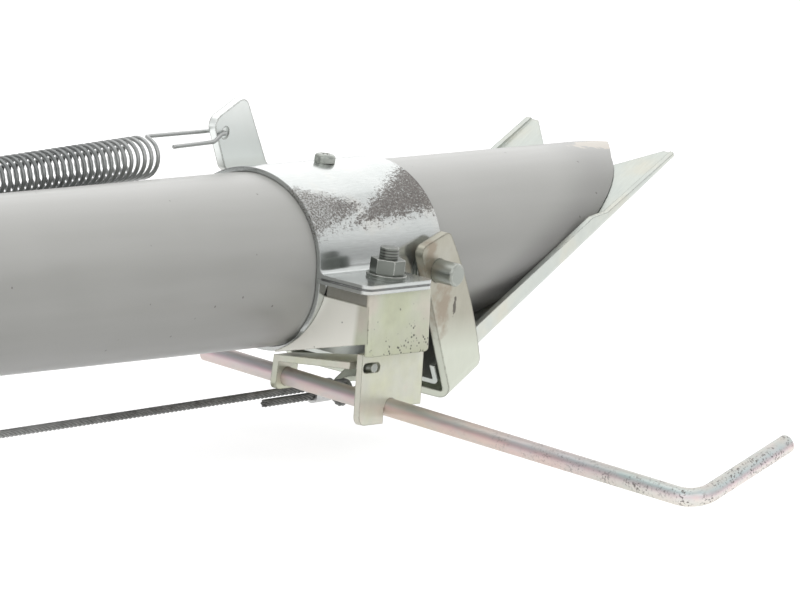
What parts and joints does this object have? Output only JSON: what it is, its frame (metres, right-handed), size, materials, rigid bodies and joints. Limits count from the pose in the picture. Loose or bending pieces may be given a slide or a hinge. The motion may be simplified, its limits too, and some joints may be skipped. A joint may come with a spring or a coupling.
{
  "type": "hand transplanter",
  "caption": "Stand-up tubular hand transplanter: a grey drop tube ends in an oblique beak whose hinged pronged lip opens by a cable and hand lever and is closed by a long coil spring",
  "frame": {"origin": "on the tube axis where the jaw's pivot axis crosses it", "axes": "+X along the tube towards the beak tip, +Y along the jaw pivot towards the side with the long spring ear, +Z away from the side that carries the cable"},
  "size_m": [0.9734, 0.3974, 0.1386],
  "materials": {
    "tube_plastic": "light grey satin extruded plastic with faint scuffs",
    "band_zinc": "bright zinc-plated sheet, scuffed in patches",
    "bracket_zinc": "cream-yellow passivated zinc on bent steel",
    "bolt_zinc": "bright zinc-plated fasteners",
    "rod_zinc": "iridescent passivated round bar",
    "spring_wire": "drawn grey spring wire",
    "wire_rope": "dark stranded wire rope",
    "ferrule_alloy": "crimped soft alloy",
    "grip_rubber": "black moulded rubber"
  },
  "bodies": {
    "frame": {"planting_tube": "tube_plastic", "collar_upper_half": "band_zinc", "collar_lower_half": "band_zinc", "collar_bolt_near": "bolt_zinc", "collar_bolt_far": "bolt_zinc", "collar_washer_near": "bolt_zinc", "collar_washer_far": "bolt_zinc", "collar_nut_near": "bolt_zinc", "collar_nut_far": "bolt_zinc", "collar_screw": "bolt_zinc", "pivot_pin_near": "bolt_zinc", "pivot_pin_far": "bolt_zinc", "pivot_spacer_near": "bolt_zinc", "pivot_spacer_far": "bolt_zinc", "stay_bracket": "bracket_zinc", "rod_bracket": "bracket_zinc", "bracket_screw": "bolt_zinc", "bracket_nut": "bolt_zinc", "spring_anchor": "bolt_zinc", "spring_anchor_nut": "bolt_zinc", "handle_collar_upper": "band_zinc", "handle_collar_lower": "band_zinc", "handle_bolt_near": "bolt_zinc", "handle_bolt_far": "bolt_zinc", "handle_washer_near": "bolt_zinc", "handle_washer_far": "bolt_zinc", "handle_nut_near": "bolt_zinc", "handle_nut_far": "bolt_zinc", "handle_bracket": "bracket_zinc", "handle_bar": "band_zinc", "grip_near": "grip_rubber", "grip_far": "grip_rubber", "lever_pin_near": "bolt_zinc", "lever_pin_far": "bolt_zinc", "lever_spacer_near": "bolt_zinc", "lever_spacer_far": "bolt_zinc"},
    "jaw": {"jaw_yoke": "bracket_zinc", "jaw_tongue": "band_zinc"},
    "cable": {"pull_cable": "wire_rope", "cable_ferrule_lower": "ferrule_alloy", "cable_ferrule_upper": "ferrule_alloy"},
    "lever": {"lever_arm_near": "bracket_zinc", "lever_arm_far": "bracket_zinc", "finger_bar": "bolt_zinc", "finger_sleeve_near": "grip_rubber", "finger_sleeve_far": "grip_rubber"},
    "marker": {"marker_rod": "rod_zinc"},
    "spring": {"return_spring": "spring_wire"}
  },
  "joints": [
    {"name": "jaw_hinge", "type": "hinge", "parent": "frame", "child": "jaw", "pos_m": [0, 0, 0], "axis": [0, 1, 0], "range_deg": [0, 28], "stiffness_Nm_per_rad": 1.6, "springref_deg": -51.57, "deforming": ["pull_cable"]},
    {"name": "cable_slide", "type": "slide", "parent": "frame", "child": "cable", "axis": [-0.9997, 0, -0.0232], "range_m": [0, 0.03]},
    {"name": "lever_hinge", "type": "hinge", "parent": "frame", "child": "lever", "pos_m": [-0.6762, 0, 0], "axis": [0, 1, 0], "range_deg": [0, 25.5]},
    {"name": "spring_slide", "type": "slide", "parent": "frame", "child": "spring", "axis": [0.8503, 0, 0.5263], "range_m": [0, 0.0316], "deforming": ["return_spring"]},
    {"name": "marker_slide", "type": "slide", "parent": "frame", "child": "marker", "axis": [0, -0.9995, -0.0326], "range_m": [-0.1, 0.04]}
  ],
  "couplings": [
    {"joint": "cable_slide", "follows": "jaw_hinge", "m_per_rad": 0.06014},
    {"joint": "lever_hinge", "follows": "jaw_hinge", "ratio": 0.89393},
    {"joint": "spring_slide", "follows": "jaw_hinge", "m_per_rad": 0.06389}
  ]
}
